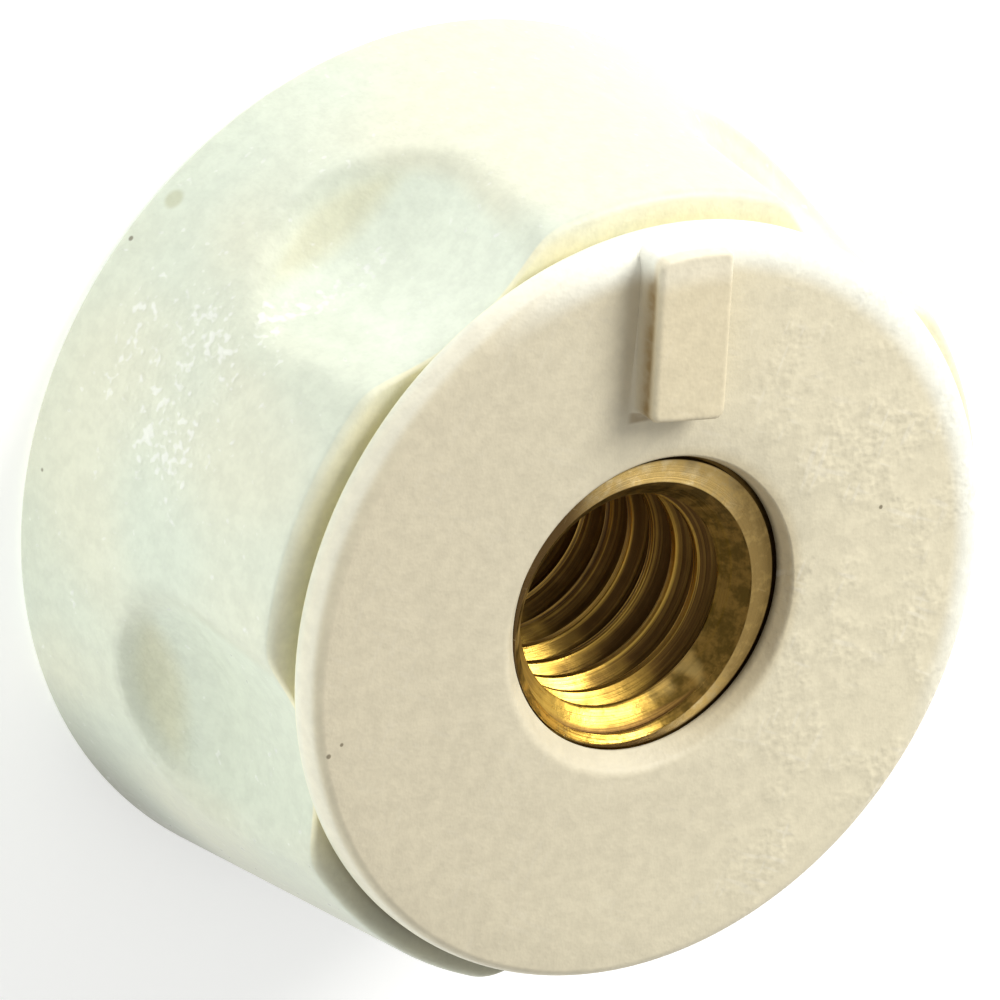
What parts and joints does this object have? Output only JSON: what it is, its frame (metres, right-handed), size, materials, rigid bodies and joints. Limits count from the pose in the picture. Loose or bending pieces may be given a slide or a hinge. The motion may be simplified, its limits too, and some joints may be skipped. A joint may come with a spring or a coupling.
{
  "type": "adjusting nut",
  "caption": "Round moulded adjusting knob with finger dents round its side, a stepped front disc with a raised radial pointer key, and a threaded brass insert through its centre.",
  "frame": {"origin": "centre of the flat back, which the nut stands on", "axes": "+Z along the thread from the flat back to the disc face, +Y from the axis to the raised pointer key, +X across the key"},
  "size_m": [0.0348, 0.0348, 0.0186],
  "materials": {
    "ivory_plastic": "cream moulded plastic, finely pitted and slightly soiled",
    "brass": "turned and tapped brass with a dull, darkened end face"
  },
  "bodies": {
    "root": {"knob": "ivory_plastic", "insert": "brass"}
  },
  "joints": []
}
